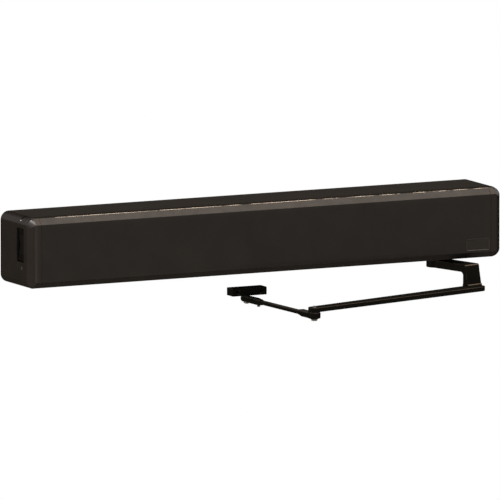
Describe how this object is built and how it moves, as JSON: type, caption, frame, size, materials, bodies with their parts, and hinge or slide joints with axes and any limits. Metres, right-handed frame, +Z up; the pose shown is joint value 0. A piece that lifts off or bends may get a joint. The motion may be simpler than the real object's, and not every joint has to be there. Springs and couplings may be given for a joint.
{
  "type": "automatic door operator",
  "caption": "Surface-mounted swing door operator: long bevelled housing with gearmotor, return spring, electronics and a two-piece arm with a door shoe.",
  "frame": {"origin": "centre of the housing's back face, which lies on the wall or door frame", "axes": "+X along the housing to the spindle end, +Y into the wall, -Y towards the viewer, +Z up"},
  "size_m": [0.9906, 0.2813, 0.2065],
  "materials": {
    "housing_paint": "satin dark bronze powder coat",
    "arm_paint": "satin dark bronze powder coat on steel",
    "bright_steel": "zinc plated or ground steel",
    "gear_steel": "oiled dark gear and spring steel",
    "cast_aluminium": "bead blasted casting",
    "motor_paint": "semi-gloss dark grey enamel",
    "bushing_brass": "machined brass",
    "black_plastic": "moulded black plastic",
    "supply_case": "galvanised sheet",
    "terminal_plastic": "moulded cream plastic",
    "board_laminate": "green solder mask",
    "relay_plastic": "moulded blue plastic",
    "terminal_green": "moulded green plastic"
  },
  "bodies": {
    "operator": {"back_channel": "housing_paint", "left_end_cap": "housing_paint", "right_end_cap": "housing_paint", "end_cap_screws": "bright_steel", "switch_plate": "housing_paint", "switch_body": "black_plastic", "plate_screw": "bright_steel", "cover_clips": "bright_steel", "drive_frame": "cast_aluminium", "drive_frame_screws": "bright_steel", "upper_bearing": "bright_steel", "lower_bearing": "bright_steel", "stop_pins": "bright_steel", "motor_body": "motor_paint", "motor_rear_cover": "black_plastic", "gearhead": "cast_aluminium", "gearhead_screws": "bright_steel", "support_bracket": "bright_steel", "bracket_screws": "bright_steel", "spring_tube": "motor_paint", "tube_end_bush": "bushing_brass", "tube_end_plug": "cast_aluminium", "spring_seat": "bright_steel", "spring_adjuster": "bright_steel", "return_spring": "gear_steel", "rack_guide": "bushing_brass", "guide_screws": "bright_steel", "power_supply": "supply_case", "mains_terminal_block": "terminal_plastic", "control_tray": "supply_case", "control_board": "board_laminate", "board_relays": "relay_plastic", "board_capacitors": "black_plastic", "board_terminals": "terminal_green", "heat_sink": "cast_aluminium", "board_screws": "bright_steel"},
    "cover": {"front_cover": "housing_paint"},
    "main_arm": {"spindle": "bright_steel", "retaining_rings": "bright_steel", "bevel_gear": "gear_steel", "rack_pinion": "gear_steel", "stop_cam": "gear_steel", "drop_crank": "arm_paint", "hub_screw": "bright_steel", "hub_washer": "bright_steel", "main_arm_bar": "arm_paint", "elbow_pin": "bright_steel", "elbow_washer": "bright_steel"},
    "motor_output": {"output_shaft": "bright_steel", "bevel_pinion": "gear_steel"},
    "rack": {"rack": "gear_steel", "spring_plunger": "bright_steel"},
    "forearm": {"forearm_rod": "arm_paint"},
    "sleeve": {"pivot_sleeve": "arm_paint", "clamp_collar": "arm_paint", "clamp_screw": "bright_steel"},
    "shoe": {"door_shoe": "arm_paint", "shoe_pin": "bright_steel"},
    "rocker": {"mode_rocker": "black_plastic"}
  },
  "joints": [
    {"name": "main_arm_swing", "type": "hinge", "parent": "operator", "child": "main_arm", "pos_m": [0.3971, -0.0467, 0], "axis": [0, 0, 1], "range_deg": [-110, 0], "stiffness_Nm_per_rad": 10, "springref_deg": 68.75},
    {"name": "motor_turn", "type": "hinge", "parent": "operator", "child": "motor_output", "pos_m": [0.35, -0.0467, 0.017], "axis": [1, 0, 0], "range_deg": [0, 220]},
    {"name": "rack_slide", "type": "slide", "parent": "operator", "child": "rack", "axis": [1, 0, 0], "range_m": [-0.0346, 0], "deforming": ["return_spring"]},
    {"name": "elbow_swing", "type": "hinge", "parent": "main_arm", "child": "forearm", "pos_m": [0.02716, -0.26817, -0.12885], "axis": [0, 0, 1], "range_deg": [-35, 75]},
    {"name": "rod_adjust", "type": "slide", "parent": "forearm", "child": "sleeve", "axis": [-0.0555, 0.9985, 0], "range_m": [-0.008, 0.02]},
    {"name": "shoe_swivel", "type": "hinge", "parent": "sleeve", "child": "shoe", "pos_m": [0.01296, -0.0127, -0.12955], "axis": [0, 0, 1], "range_deg": [-75, 75]},
    {"name": "rocker_tilt", "type": "hinge", "parent": "operator", "child": "rocker", "pos_m": [-0.4821, -0.08355, 0.01325], "axis": [0, 1, 0], "range_deg": [-7, 7]},
    {"name": "cover_off", "type": "slide", "parent": "operator", "child": "cover", "axis": [0, -1, 0], "range_m": [0, 0.15]}
  ],
  "couplings": [
    {"joint": "motor_turn", "follows": "main_arm_swing", "ratio": -2},
    {"joint": "rack_slide", "follows": "main_arm_swing", "m_per_rad": 0.018}
  ]
}
